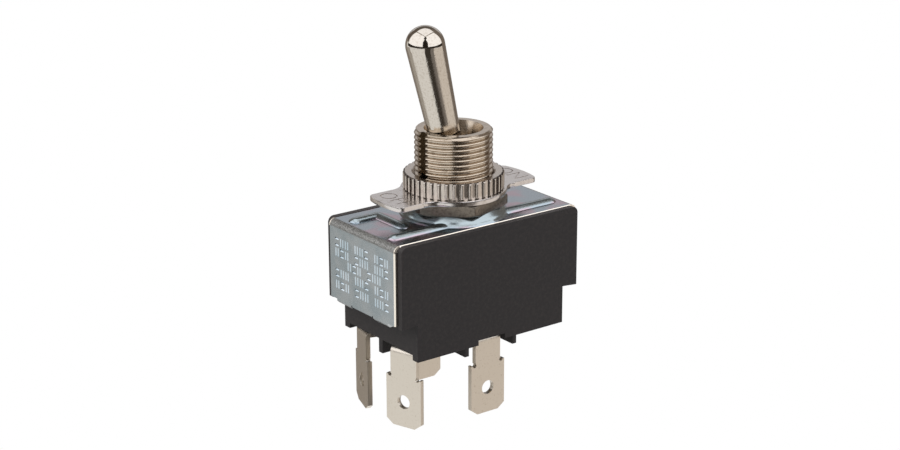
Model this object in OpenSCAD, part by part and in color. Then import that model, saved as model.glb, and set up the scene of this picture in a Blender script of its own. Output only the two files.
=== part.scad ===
// Panel toggle switch: double pole, single throw, with a bat lever on a threaded bushing.
// Millimetres. Z is the bushing's axis and points to the lever's tip. The origin is on that axis,
// in the plane where a panel seats: the upper face of the hex nut. X runs along the case, and the
// lever throws along X. The lever is drawn in its OFF place, leaning to -X.

/* [Case] */
// Length of the case over its cheeks
case_l = 33.24; // [32.8:0.1:36]
// Width of the case
case_w = 19.12; // [18.4:0.1:22]
// Depth of the case below the top of the steel frame
case_h = 18.4; // [17.8:0.1:20]
// Depth of the upper block, down to the ledges that the frame hooks under
ledge_h = 12.5; // [11:0.1:13.5]
// Length of each ledge, from the case's end to the lower block
ledge_l = 2.76; // [2.4:0.02:3.2]
// Radius of the top corners of the cheeks
cheek_r = 1; // [0.3:0.1:2]
// Drop of the cheeks' underside at its outer end
ledge_drop = 0.26; // [0:0.02:0.5]
// Thickness of the case's floor where no foot is let in
floor_t = 2; // [1.8:0.1:2.4]
// Room at each end of a pole's cavity, past the rocker
cavity_room = 1.8; // [1.4:0.1:2]
// Width of each pole's cavity
cavity_w = 7.2; // [7:0.1:7.8]
// Thickness of the barrier between the poles
barrier_t = 1; // [0.8:0.1:1.6]
// Depth of the ribs under the case
rib_drop = 1.4; // [0.8:0.1:2]
// Thickness of the long rib under the case
rib_t = 1; // [0.6:0.1:1.4]
// Thickness of the two cross ribs under the case
cross_rib_t = 0.8; // [0.5:0.1:1.2]
// Distance of the cross ribs from the middle
cross_rib_x = 4.55; // [4.1:0.05:4.8]

/* [Frame] */
// Thickness of the frame's sheet
sheet_t = 1; // [0.8:0.05:1.2]
// Outer radius of the frame's bends
bend_r = 1; // [0.6:0.1:1.6]
// How far the frame's ends stand out past the cheeks
frame_proud = 0.53; // [0.2:0.05:0.8]
// Gap between the frame's ends and the moulded block
frame_gap = 0.1; // [0.05:0.01:0.2]
// Gap between the frame's long edges and the cheeks
edge_gap = 0.05; // [0.02:0.01:0.1]
// Thickness of the cheeks beside the frame
cheek_t = 1.06; // [0.9:0.02:1.3]
// Width of a crimped tab
crimp_w = 3.8; // [2.5:0.1:4.5]
// Distance of a crimped tab's middle from the case's middle
crimp_y = 4.75; // [4:0.05:5.5]
// Thickness of a crimped tab's turned-in end
crimp_t = 0.4; // [0.3:0.05:0.6]
// Height of the round boss around the bushing
boss_h = 1.3; // [1:0.05:1.6]
// Radius of the boss at its foot
boss_foot_r = 8.35; // [8:0.05:8.4]
// Radius of the boss's flat top
boss_top_r = 7.1; // [6.95:0.05:7.3]
// Height of the stiffening ridges
ridge_h = 0.55; // [0.4:0.05:0.7]
// Width of the stiffening ridges
ridge_w = 2.2; // [1.6:0.1:2.6]
// Distance of the long ridges from the middle
ridge_y = 5; // [4.6:0.1:5.4]
// Distance of the ridges' ends from the frame's ends
ridge_in = 2.55; // [2.3:0.05:3.6]
// Distance of the short cross ridge from the frame's end
cross_ridge_in = 6.55; // [5.6:0.05:7]
// How far past the middle line the short cross ridge reaches
cross_ridge_y = 1.4; // [0:0.1:2]

/* [Bushing and nuts] */
// Major diameter of the bushing's thread, 15/32 in
thread_d = 11.9; // [11.7:0.05:12.1]
// Height of the bushing above the panel seat
bushing_h = 10; // [9:0.1:12]
// Radius of the bushing's flange under the frame
flange_r = 6.7; // [6.5:0.05:6.8]
// Chamfer at the bushing's mouth
mouth_chamfer = 0.35; // [0.1:0.05:0.45]
// Width of the keyway
key_w = 1.7; // [1.2:0.1:2]
// Depth of the keyway
key_depth = 0.9; // [0.5:0.05:0.95]
// Clearance of the nuts and the plate around the thread
thread_gap = 0.05; // [0.02:0.01:0.1]
// Clearance of the plate's key in the keyway
key_gap = 0.1; // [0.05:0.01:0.2]
// Width of the hex nut across its flats, 9/16 in
hex_af = 14.29; // [13.9:0.05:14.6]
// Thickness of the hex nut
hex_t = 1.9; // [1.5:0.1:2.4]
// Turn of the hex nut about the bushing
hex_turn = 16; // [0:1:59]
// Outer diameter of the knurled nut over its ribs
knurl_d = 15.4; // [15:0.1:16]
// Thickness of the knurled nut
knurl_t = 2.55; // [2:0.05:3.2]
// Number of ribs around the knurled nut
knurl_n = 40; // [30:1:48]
// Width of one rib of the knurled nut
knurl_rib_w = 0.52; // [0.4:0.02:0.6]
// Height of the ribs above the nut's body
knurl_rib_h = 0.34; // [0.2:0.02:0.4]

/* [Plate] */
// Thickness of the ON-OFF plate
plate_t = 0.8; // [0.6:0.05:1.2]
// Radius of the plate's disc
plate_r = 8.1; // [7.9:0.05:8.6]
// Radius of the plate's two ends about the bushing
plate_end_r = 13.4; // [12.5:0.1:14.5]
// Width of the plate's wings
wing_w = 8.3; // [7:0.1:9]
// Radius of the hollow between disc and wing
wing_fillet_r = 3; // [2:0.1:4]
// Radius of the wing's corners
wing_corner_r = 1; // [0.5:0.1:1.6]

/* [Lever] */
// Height of the pivot above the panel seat
pivot_h = 2.35; // [2:0.05:2.8]
// Lean of the lever each way from the bushing's axis, in degrees
throw = 13.8; // [12.5:0.1:14]
// Distance from the pivot to the lever's tip
lever_l = 24.6; // [22:0.1:28]
// Radius of the lever's round tip
tip_r = 2.95; // [2.6:0.05:3.2]
// Radius of the bat where it meets the neck
bat_r = 2.46; // [2.3:0.02:2.5]
// Distance from the pivot to the shoulder under the bat
shoulder_l = 7.7; // [7:0.1:8.5]
// Width of the neck between its two flats
neck_w = 3.5; // [3:0.1:3.9]
// Radius at which the flats run out under the shoulder
runout_r = 0.7; // [0.4:0.05:0.9]
// Clearance between the lever and the bushing at the end of the throw
lever_gap = 0.1; // [0.05:0.01:0.15]
// Radius of the stem under the neck
stem_r = 1.6; // [1.3:0.05:1.7]
// Diameter of the pivot pin
pin_d = 1.6; // [1.2:0.05:1.8]
// Running clearance of the lever on the pivot pin, on the radius
pin_gap = 0.04; // [0.02:0.01:0.08]

/* [Crossbar and plungers] */
// Distance from the pivot to the top of the crossbar
bar_top = 8; // [7.9:0.05:8.3]
// Distance from the pivot to the underside of the crossbar
bar_bottom = 14.2; // [13.8:0.05:14.4]
// Thickness of the crossbar along the throw
bar_t = 3.8; // [3.5:0.1:4.2]
// Length of the crossbar across both poles
bar_l = 11.8; // [11.4:0.1:12.4]
// Distance from the pivot to the plungers' noses
plunger_reach = 17; // [16.6:0.05:17.2]
// Radius of a plunger
plunger_r = 1.2; // [1:0.05:1.3]
// Running clearance of a plunger in its bore, on the radius
plunger_gap = 0.05; // [0.03:0.01:0.1]
// Travel of a plunger into the crossbar
plunger_travel = 0.8; // [0.5:0.1:1]
// Number of turns of a plunger spring
spring_turns = 7; // [5:1:9]
// Diameter of the spring's wire
spring_wire_d = 0.25; // [0.15:0.01:0.3]

/* [Contacts] */
// Height of the rocker's pivot above the cavity floor
fulcrum_h = 2.8; // [2.6:0.05:3]
// Thickness of the rocker's strip
rocker_t = 0.9; // [0.7:0.05:1]
// Width of the rocker's strip
rocker_w = 4.4; // [4:0.1:4.5]
// How far the rocker reaches past the middle of its contact
rocker_end = 1.2; // [1:0.05:1.5]
// Distance of the contacts from the case's end
contact_in = 7.22; // [7:0.02:7.6]
// Radius of the trunnions that the rocker turns on
trunnion_r = 0.7; // [0.5:0.05:0.8]
// Running clearance of the trunnions in their notches, on the radius
trunnion_gap = 0.05; // [0.03:0.01:0.1]
// Clearance of the plunger's nose over the rocker's cradle
nose_gap = 0.08; // [0.05:0.01:0.12]
// Height of a contact rivet's head
contact_h = 1; // [0.8:0.05:1.1]
// Clearance of the closed or stopped rocker
contact_gap = 0.03; // [0.02:0.01:0.06]
// Thickness of the bracket's sheet
bracket_t = 0.7; // [0.6:0.05:0.8]

/* [Terminals] */
// Thickness of a terminal
tab_t = 0.8; // [0.7:0.05:0.9]
// Width of the tab, 0.250 in
tab_w = 6.35; // [6.1:0.05:6.5]
// Width of the terminal's neck and foot
tab_neck_w = 4.75; // [4.2:0.05:5]
// Distance of the tab's shoulders below the case's floor
neck_l = 3.65; // [3:0.05:4.5]
// Length of the wide part of the tab
tab_l = 8.1; // [7.5:0.1:9]
// Width of the corner chamfers at the tab's end
tab_chamfer_w = 1.2; // [0.6:0.1:1.6]
// Height of the corner chamfers at the tab's end
tab_chamfer_h = 0.9; // [0.5:0.1:1.2]
// Diameter of the hole in the tab
tab_hole_d = 2.2; // [1.8:0.1:2.6]
// Distance of the hole from the tab's end
tab_hole_l = 4.05; // [3.5:0.05:4.5]
// Distance from the rivet to the middle of a tab
foot_l = 4.1; // [3.9:0.02:4.3]
// Turn of the end terminals away from the case's length, in degrees
end_turn = 18.5; // [12:0.5:20]
// Radius of the rivets' shanks
rivet_r = 1.1; // [0.9:0.05:1.2]
// Radius of the rivets' heads
rivet_head_r = 1.6; // [1.4:0.05:1.7]
// Height of the rivets' heads
rivet_head_h = 0.6; // [0.5:0.05:0.7]
// Clearance of the rivets and other fixed fits, on the radius
fit_gap = 0.02; // [0.01:0.01:0.04]

/* [Hidden] */
$fn = 64;

near = -1;
far = 1;
// How far a cutting shape reaches past what it cuts, and how deep a tangent cut bites.
slack = 1;
bite = 0.01;

// Heights. Those that end in _c are measured from the top of the steel frame.
case_z = -(boss_h + hex_t);
pivot_c = pivot_h - case_z;
floor_c = -case_h + floor_t;
foot_top_c = -case_h + tab_t;
fulcrum_c = floor_c + fulcrum_h;
shoulder_c = -case_h - neck_l;
tab_end_c = shoulder_c - tab_l;

// Plan of the case.
base_l = case_l - 2 * ledge_l;
contact_x = case_l / 2 - contact_in;
rocker_l = 2 * (contact_x + rocker_end);
cavity_l = rocker_l + 2 * cavity_room;
pole_y = (barrier_t + cavity_w) / 2;
frame_end_x = case_l / 2 + frame_proud;
ridge_x = frame_end_x - ridge_in;
cross_ridge_x = frame_end_x - cross_ridge_in;
block_x = frame_end_x - sheet_t - frame_gap;
frame_y = case_w / 2 - cheek_t - edge_gap;
thread_r = thread_d / 2;
bore_r = thread_r + thread_gap;

// The slot in the bushing that the neck of the lever turns in.
throat_h = 2.5;
function swing_r(h, r) = h * tan(throw) + r / cos(throw) + lever_gap;
throat_x = swing_r(throat_h, bat_r);
throat_w = neck_w + 2 * lever_gap;
bushing_foot = sheet_t - boss_h - case_z;

// The stem's socket in the crossbar, and the crossbar's bores with their springs and plungers.
stem_in = 4;
bore_end = bar_top + 1.4;
plunger_top = bore_end + plunger_travel + 0.2;
pocket_end = plunger_top + 4;
pocket_r = plunger_r - 0.35;
spring_r = pocket_r - spring_wire_d / 2 - 0.1;

// The rocker's cradle: the nose of a plunger runs along it while the rocker turns half as far as
// the lever. Its arc goes through the nose's centre at both ends of the throw and in the middle.
rock = throw / 2;
nose_l = plunger_reach - plunger_r;
pivot_rise = pivot_c - fulcrum_c;
nose_end_x = nose_l * sin(throw) * cos(rock) - (pivot_rise - nose_l * cos(throw)) * sin(rock);
nose_end_z = nose_l * sin(throw) * sin(rock) + (pivot_rise - nose_l * cos(throw)) * cos(rock);
nose_mid_z = pivot_rise - nose_l;
nose_rise = nose_end_z - nose_mid_z;
nose_arc_r = (nose_end_x * nose_end_x + nose_rise * nose_rise) / (2 * nose_rise);
cradle_r = nose_arc_r + plunger_r + nose_gap;
cradle_z = nose_mid_z + nose_arc_r;
cradle_x = nose_end_x + 1.25;
cradle_crest_z = cradle_z - sqrt(cradle_r * cradle_r - cradle_x * cradle_x);
cradle_back_r = cradle_r + rocker_t;
cradle_back_z = cradle_z - sqrt(cradle_back_r * cradle_back_r - cradle_x * cradle_x);

// The rocker's arms, and what they come down on.
arm_z = -0.05;
contact_r = 1.3;
contact_face_z = (contact_h + contact_gap - fulcrum_h + (contact_x + contact_r) * sin(rock)) / cos(rock);
stop_l = 2;
stop_h = fulcrum_h - (contact_x + stop_l / 2) * tan(rock) + arm_z / cos(rock) - contact_gap;
ear_r = 1.1;
ear_y = rocker_w / 2;
bracket_y = ear_y + 0.4;

// Colours.
phenolic = [0.2, 0.185, 0.18];
zinc = [0.6, 0.66, 0.72];
nickel = [0.74, 0.71, 0.66];
bright_nickel = [0.82, 0.8, 0.76];
tin = [0.84, 0.81, 0.75];
copper = [0.78, 0.5, 0.34];
silver = [0.86, 0.86, 0.85];
brass = [0.8, 0.68, 0.4];
nylon = [0.84, 0.8, 0.7];

// Frames of reference.
module at_case() { translate([0, 0, case_z]) children(); }
module at_lever() { translate([0, 0, pivot_h]) rotate([0, -throw, 0]) children(); }
module at_rocker(side) {
    translate([0, side * pole_y, case_z + fulcrum_c]) rotate([0, rock, 0]) children();
}
module both_x() { for (s = [-1, 1]) mirror([s < 0 ? 1 : 0, 0, 0]) children(); }
module both_y() { for (s = [-1, 1]) mirror([0, s < 0 ? 1 : 0, 0]) children(); }

// A box centred on X and Y that spans z0 to z1.
module slab(l, w, z0, z1) { translate([-l / 2, -w / 2, z0]) cube([l, w, z1 - z0]); }

// An outline drawn in X and Z, given width w across Y.
module across(w) { rotate([90, 0, 0]) translate([0, 0, -w / 2]) linear_extrude(w) children(); }

// A cylinder along Y.
module rod_y(r, l) { rotate([90, 0, 0]) cylinder(r = r, h = l, center = true); }

// ---- Housing ----

module cheek_outline() {
    difference() {
        polygon([
            [-case_l / 2, -ledge_h - ledge_drop], [-base_l / 2, -ledge_h], [-base_l / 2, -case_h],
            [base_l / 2, -case_h], [base_l / 2, -ledge_h], [case_l / 2, -ledge_h - ledge_drop],
            [case_l / 2, 0], [-case_l / 2, 0]
        ]);
        both_x() difference() {
            translate([case_l / 2 - cheek_r, -cheek_r]) square(cheek_r + slack);
            translate([case_l / 2 - cheek_r, -cheek_r]) circle(cheek_r);
        }
    }
}

module pole_cavity() {
    slab(cavity_l, cavity_w, floor_c, slack);
}

// Room for the crossbar's swing through the barrier.
module crossbar_notch() {
    sweep_r = norm([bar_bottom, bar_t / 2]) + 0.35;
    translate([0, 0, pivot_c]) rod_y(sweep_r, barrier_t + 2 * slack);
}

module foot_recesses() {
    end_w = 2 * (case_w / 2 - 1.35);
    translate([-base_l / 2 - slack, -end_w / 2, -case_h - slack])
        cube([base_l / 2 + slack - cross_rib_x - cross_rib_t, end_w, tab_t + slack]);
    slab(tab_neck_w + 0.25, case_w + 2 * slack, -case_h - slack, foot_top_c);
}

module under_ribs() {
    slab(base_l, rib_t, -case_h - rib_drop, foot_top_c);
    both_x() translate([cross_rib_x, 0, 0])
        slab(cross_rib_t, case_w - 0.5, -case_h - rib_drop, -case_h + 0.2);
}

module rivet_holes() {
    hole_r = rivet_r + fit_gap;
    for (x = [0, -contact_x], side = [near, far])
        translate([x, side * pole_y, -case_h]) cylinder(r = hole_r, h = floor_t + slack);
}

module housing() {
    color(phenolic) at_case() difference() {
        union() {
            difference() {
                across(case_w) cheek_outline();
                slab(2 * case_l, 2 * (frame_y + edge_gap), -sheet_t, slack);
                both_x() translate([block_x, -frame_y - edge_gap, -case_h])
                    cube([case_l, 2 * (frame_y + edge_gap), case_h]);
                both_x() translate([base_l / 2, -frame_y - edge_gap, -case_h])
                    cube([case_l, 2 * (frame_y + edge_gap), case_h - ledge_h]);
                for (side = [near, far]) translate([0, side * pole_y, 0]) pole_cavity();
                crossbar_notch();
                foot_recesses();
            }
            under_ribs();
            for (side = [near, far]) translate([contact_x, side * pole_y, 0])
                slab(stop_l, 3.2, floor_c - 0.2, floor_c + stop_h);
        }
        rivet_holes();
    }
}

// ---- Steel frame ----

// A ridge with a round back and round ends, from one point to another on the frame's top.
module ridge(from, to) {
    back_r = (ridge_w * ridge_w / 4 + ridge_h * ridge_h) / (2 * ridge_h);
    run = to - from;
    intersection() {
        translate([0, 0, ridge_h - back_r]) {
            translate(from) rotate([0, 90, atan2(run[1], run[0])]) cylinder(r = back_r, h = norm(run));
            translate(from) sphere(back_r);
            translate(to) sphere(back_r);
        }
        slab(2 * case_l, 2 * case_w, -sheet_t / 2, sheet_t);
    }
}

module ridges() {
    ridge([-ridge_x, -ridge_y, 0], [ridge_x, -ridge_y, 0]);
    ridge([-ridge_x, ridge_y, 0], [-cross_ridge_x, ridge_y, 0]);
    ridge([-cross_ridge_x, -cross_ridge_y, 0], [-cross_ridge_x, ridge_y, 0]);
}

module boss(foot_r, top_r) {
    round_r = 0.55;
    hollow_r = 0.9;
    hollow_out = 0.25;
    hollow_up = 0.1;
    rotate_extrude() difference() {
        polygon([
            [0, -sheet_t / 2], [foot_r, -sheet_t / 2], [foot_r, 0],
            [top_r + round_r, boss_h - round_r], [top_r, boss_h], [0, boss_h]
        ]);
        translate([foot_r + hollow_out, hollow_r + hollow_up]) circle(hollow_r);
    }
}

module end_plate() {
    middle_w = 5.2;
    inner_x = frame_end_x - sheet_t;
    drop = ledge_h - 0.2;
    hook_top = ledge_h + 0.05;
    hook_end = inner_x - 0.85;
    hook_round = 0.35;
    translate([inner_x, -frame_y, -drop]) cube([sheet_t, 2 * frame_y, drop - bend_r]);
    translate([inner_x, -middle_w / 2, -ledge_h]) cube([sheet_t, middle_w, ledge_h - bend_r]);
    both_y() translate([0, crimp_y, 0]) across(crimp_w) polygon([
        [inner_x, -ledge_h + slack], [inner_x, -hook_top], [hook_end, -hook_top],
        [hook_end, -hook_top - crimp_t], [frame_end_x - hook_round, -hook_top - crimp_t],
        [frame_end_x, -hook_top - crimp_t + hook_round], [frame_end_x, -ledge_h + slack]
    ]);
}

module frame_bend() {
    across(2 * frame_y) difference() {
        union() {
            translate([frame_end_x - bend_r, -bend_r]) circle(bend_r);
            translate([frame_end_x - bend_r - slack, -sheet_t]) square([slack, sheet_t]);
            translate([frame_end_x - sheet_t, -bend_r - slack]) square([sheet_t, slack]);
        }
        translate([0, -2 * case_h]) square([frame_end_x - sheet_t, 2 * case_h - sheet_t]);
    }
}

module steel_frame() {
    top_l = 2 * (frame_end_x - bend_r);
    color(zinc) at_case() difference() {
        union() {
            slab(top_l, 2 * frame_y, -sheet_t, 0);
            both_x() frame_bend();
            both_x() end_plate();
            ridges();
            boss(boss_foot_r, boss_top_r);
        }
        translate([0, 0, -sheet_t]) ridges();
        translate([0, 0, -sheet_t - slack]) cylinder(r = flange_r + fit_gap, h = slack + boss_h);
        cylinder(r = bore_r, h = 4 * boss_h, center = true);
    }
}

// ---- Bushing, nuts and plate ----

module bushing() {
    top = bushing_h;
    foot = case_z - sheet_t;
    seat = case_z + boss_h - sheet_t;
    low = pivot_h - throat_h;
    high = pivot_h + throat_h;
    mouth_r = swing_r(bushing_h - pivot_h, bat_r);
    tail_r = swing_r(pivot_h - foot, stem_r) + 0.3;
    color(nickel) difference() {
        rotate_extrude() polygon([
            [0, foot], [flange_r, foot], [flange_r, seat], [thread_r, seat],
            [thread_r, top - mouth_chamfer], [thread_r - mouth_chamfer, top], [0, top]
        ]);
        rotate_extrude() polygon([[0, high], [throat_x, high], [mouth_r, top], [mouth_r, top + slack], [0, top + slack]]);
        rotate_extrude() polygon([[0, foot - slack], [tail_r, foot - slack], [tail_r, foot], [throat_x, low], [0, low]]);
        slab(2 * throat_x, throat_w, low - slack, high + slack);
        translate([-thread_r - slack, -key_w / 2, seat]) cube([key_depth + slack, key_w, bushing_h + slack - seat]);
        translate([0, 0, pivot_h]) rod_y(pin_d / 2 + fit_gap, 2 * thread_r + slack);
    }
}

module hex_nut() {
    corner_r = hex_af / 2 / cos(30);
    chamfer = 0.3;
    color(nickel) difference() {
        translate([0, 0, -hex_t]) intersection() {
            rotate([0, 0, hex_turn]) cylinder(r = corner_r, h = hex_t, $fn = 6);
            rotate_extrude() polygon([
                [0, 0], [corner_r - 2 * chamfer, 0], [corner_r, chamfer],
                [corner_r, hex_t - chamfer], [corner_r - 2 * chamfer, hex_t], [0, hex_t]
            ]);
        }
        cylinder(r = bore_r, h = 3 * hex_t, center = true);
    }
}

// One wing's outline: straight sides, an end that is an arc about the bushing, round corners,
// and a hollow where each side meets the disc.
module wing_outline() {
    half = wing_w / 2;
    corner_x = sqrt(pow(plate_end_r - wing_corner_r, 2) - pow(half - wing_corner_r, 2));
    corner = [corner_x, half - wing_corner_r];
    outward = corner / norm(corner);
    fillet_x = sqrt(pow(plate_r + wing_fillet_r, 2) - pow(half + wing_fillet_r, 2));
    fillet = [fillet_x, half + wing_fillet_r];
    touch = fillet * plate_r / norm(fillet);
    difference() {
        union() {
            intersection() {
                circle(plate_end_r);
                translate([0, -half]) square([plate_end_r, wing_w]);
            }
            polygon([[touch[0], -touch[1]], [fillet[0], -fillet[1]], fillet, touch]);
        }
        for (s = [0, 1]) mirror([0, s]) {
            translate(fillet) circle(wing_fillet_r + bite);
            difference() {
                polygon([
                    corner, corner + outward * (wing_corner_r + slack),
                    [plate_end_r + slack, half + slack], [corner_x, half + slack]
                ]);
                translate(corner) circle(wing_corner_r);
            }
        }
    }
}

module on_off_plate() {
    key_in_r = thread_r - key_depth + key_gap;
    color(nickel) linear_extrude(plate_t) {
        difference() {
            union() {
                circle(plate_r);
                for (s = [0, 1]) mirror([s, 0]) wing_outline();
            }
            circle(bore_r);
        }
        translate([-bore_r - slack, key_gap - key_w / 2]) square([bore_r + slack - key_in_r, key_w - 2 * key_gap]);
    }
}

module knurled_nut() {
    body_r = knurl_d / 2 - knurl_rib_h;
    edge = 0.2;
    color(nickel) translate([0, 0, plate_t]) difference() {
        intersection() {
            linear_extrude(knurl_t) {
                circle(body_r);
                for (i = [0 : knurl_n - 1]) rotate(i * 360 / knurl_n) {
                    translate([knurl_d / 2 - knurl_rib_w / 2, 0]) circle(knurl_rib_w / 2, $fn = 24);
                    translate([body_r - slack, -knurl_rib_w / 2])
                        square([knurl_rib_h + slack - knurl_rib_w / 2, knurl_rib_w]);
                }
            }
            rotate_extrude() polygon([
                [0, 0], [knurl_d / 2 - edge, 0], [knurl_d / 2 + edge, 2 * edge],
                [knurl_d / 2 + edge, knurl_t - 2 * edge], [knurl_d / 2 - edge, knurl_t], [0, knurl_t]
            ]);
        }
        cylinder(r = bore_r, h = 3 * knurl_t, center = true);
        translate([0, 0, knurl_t - 0.4]) cylinder(r1 = bore_r, r2 = bore_r + 0.8, h = 0.8);
    }
}

// ---- Lever, pin and crossbar ----

module lever() {
    tip_c = lever_l - tip_r;
    slope = atan((tip_r - bat_r) / (tip_c - shoulder_l));
    stem_end = -bar_top - stem_in;
    color(bright_nickel) at_lever() difference() {
        rotate_extrude() {
            polygon([
                [0, stem_end], [stem_r - 0.3, stem_end], [stem_r, stem_end + 0.3], [stem_r, -throat_h - 1],
                [bat_r, -throat_h], [bat_r, shoulder_l],
                [tip_r * cos(slope), tip_c - tip_r * sin(slope)], [0, tip_c]
            ]);
            intersection() {
                translate([0, tip_c]) circle(tip_r);
                translate([0, tip_c - tip_r * sin(slope)]) square(2 * tip_r);
            }
        }
        both_y() translate([0, neck_w / 2, 0]) {
            translate([-2 * bat_r, 0, -throat_h - slack])
                cube([4 * bat_r, 2 * bat_r, shoulder_l - runout_r + throat_h + slack]);
            translate([-2 * bat_r, runout_r, 0]) rotate([0, 90, 0]) translate([runout_r - shoulder_l, 0, 0])
                cylinder(r = runout_r, h = 4 * bat_r);
        }
        rod_y(pin_d / 2 + pin_gap, 4 * bat_r);
    }
}

module pivot_pin() {
    pin_l = 2 * (thread_r - 0.55);
    color(silver) translate([0, 0, pivot_h]) rod_y(pin_d / 2, pin_l);
}

module crossbar() {
    edge_r = 0.5;
    cut_l = edge_r + slack;
    socket_room = 0.1;
    color(nylon) at_lever() difference() {
        across(bar_l) difference() {
            translate([-bar_t / 2, -bar_bottom]) square([bar_t, bar_bottom - bar_top]);
            for (s = [-1, 1], end = [[bar_top, 1], [bar_bottom, -1]])
                translate([s * (bar_t / 2 - edge_r), -end[0] - end[1] * edge_r]) difference() {
                    translate([s * cut_l / 2, end[1] * cut_l / 2]) square(cut_l, center = true);
                    circle(edge_r, $fn = 32);
                }
        }
        translate([0, 0, -bar_top - stem_in - socket_room])
            cylinder(r = stem_r + fit_gap, h = stem_in + socket_room + slack);
        for (side = [near, far]) translate([0, side * pole_y, -bar_bottom - slack])
            cylinder(r = plunger_r + plunger_gap, h = bar_bottom + slack - bore_end);
    }
}

module plunger(side) {
    color(brass) at_lever() translate([0, side * pole_y, 0]) difference() {
        union() {
            translate([0, 0, -nose_l]) cylinder(r = plunger_r, h = nose_l - plunger_top);
            translate([0, 0, -nose_l]) sphere(plunger_r);
        }
        translate([0, 0, -pocket_end]) cylinder(r = pocket_r, h = pocket_end - plunger_top + slack);
    }
}

// A round wire wound on a helix from z0 to z1, as rings of points joined by quads.
module helix_wire(r, wire_d, turns, z0, z1) {
    steps = 14 * turns;
    sides = 6;
    rise = z1 - z0;
    points = [
        for (i = [0 : steps], j = [0 : sides - 1])
            let (a = 360 * turns * i / steps, b = 360 * j / sides, rr = r + wire_d / 2 * cos(b))
                [rr * cos(a), rr * sin(a), z0 + rise * i / steps + wire_d / 2 * sin(b)]
    ];
    skin = [
        for (i = [0 : steps - 1], j = [0 : sides - 1])
            let (k = (j + 1) % sides)
                [i * sides + j, i * sides + k, (i + 1) * sides + k, (i + 1) * sides + j]
    ];
    ends = [[for (j = [sides - 1 : -1 : 0]) j], [for (j = [0 : sides - 1]) steps * sides + j]];
    polyhedron(points, concat(skin, ends));
}

module plunger_spring(side) {
    inset = spring_wire_d / 2 + 0.02;
    color(silver) at_lever() translate([0, side * pole_y, 0])
        helix_wire(spring_r, spring_wire_d, spring_turns, -pocket_end + inset, -bore_end - inset);
}

// ---- Contacts ----

module rocker_arm_outline() {
    ramp_room = 1.37;
    foot_x = contact_x - contact_r - ramp_room;
    polygon([
        [cradle_x - 0.05, cradle_crest_z], [cradle_x + 0.7, cradle_crest_z],
        [foot_x + 0.5, arm_z + rocker_t], [rocker_l / 2, arm_z + rocker_t],
        [rocker_l / 2, arm_z], [foot_x, arm_z], [cradle_x - 0.05, cradle_back_z]
    ]);
}

module rocker_outline() {
    intersection() {
        translate([0, cradle_z]) difference() {
            circle(cradle_back_r);
            circle(cradle_r);
        }
        translate([-cradle_x, -cradle_z]) square([2 * cradle_x, cradle_z + cradle_crest_z]);
    }
    rocker_arm_outline();
    mirror([1, 0]) rocker_arm_outline();
}

module rocker(side) {
    ear_top = cradle_z - cradle_r - rocker_t / 2;
    pin_in = ear_y - bracket_t;
    pin_out = bracket_y + bracket_t - 0.05;
    color(copper) at_rocker(side) difference() {
        union() {
            across(rocker_w) rocker_outline();
            both_y() translate([0, ear_y - bracket_t / 2, 0]) across(bracket_t) {
                circle(ear_r);
                translate([-ear_r, 0]) square([2 * ear_r, ear_top]);
            }
            both_y() translate([0, (pin_in + pin_out) / 2, 0]) rod_y(trunnion_r, pin_out - pin_in);
        }
        translate([-contact_x, 0, arm_z - slack]) cylinder(r = 0.6 + fit_gap, h = rocker_t + 2 * slack);
    }
}

module moving_contact(side) {
    color(silver) at_rocker(side) translate([-contact_x, 0, 0]) {
        translate([0, 0, contact_face_z]) cylinder(r = contact_r, h = arm_z - contact_face_z);
        translate([0, 0, arm_z - 0.1]) cylinder(r = 0.6, h = rocker_t + 0.2);
        translate([0, 0, arm_z + rocker_t]) cylinder(r = 1, h = 0.3);
    }
}

module fulcrum_bracket(side) {
    base_x = 2.6;
    top_x = 1.6;
    ear_top = fulcrum_h + 0.8;
    notch_r = trunnion_r + trunnion_gap;
    color(brass) at_case() translate([0, side * pole_y, floor_c]) difference() {
        union() {
            slab(2 * base_x, 2 * (bracket_y + bracket_t), 0, bracket_t);
            both_y() translate([0, bracket_y + bracket_t / 2, 0]) across(bracket_t) difference() {
                polygon([[-base_x, 0], [base_x, 0], [base_x, bracket_t], [top_x, ear_top], [-top_x, ear_top], [-base_x, bracket_t]]);
                translate([0, fulcrum_h]) circle(notch_r);
                translate([-notch_r, fulcrum_h]) square([2 * notch_r, slack]);
            }
        }
        cylinder(r = rivet_r + fit_gap, h = 3 * bracket_t, center = true);
    }
}

// A rivet through the case's floor and a terminal's foot, with its upper head's base at height z.
module rivet(x, side, z, head_h, head_r) {
    at_case() translate([x, side * pole_y, 0]) {
        translate([0, 0, z]) cylinder(r = head_r, h = head_h);
        translate([0, 0, -case_h]) cylinder(r = rivet_r, h = case_h + z);
        translate([0, 0, -case_h]) rotate_extrude() intersection() {
            translate([0, 1.4]) circle(2.2);
            translate([0, -rivet_head_h]) square([rivet_head_r, rivet_head_h]);
        }
    }
}

module fulcrum_rivet(side) {
    color(brass) rivet(0, side, floor_c + bracket_t, rivet_head_h, rivet_head_r);
}

module contact_rivet(side) {
    color(silver) rivet(-contact_x, side, floor_c, contact_h, rivet_head_r);
}

// ---- Terminals ----

// The wide part of a tab, seen from its flat side.
module blade_outline() {
    polygon([
        [-tab_w / 2, tab_end_c + tab_chamfer_h], [-tab_w / 2 + tab_chamfer_w, tab_end_c],
        [tab_w / 2 - tab_chamfer_w, tab_end_c], [tab_w / 2, tab_end_c + tab_chamfer_h],
        [tab_w / 2, shoulder_c], [-tab_w / 2, shoulder_c]
    ]);
}

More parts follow.
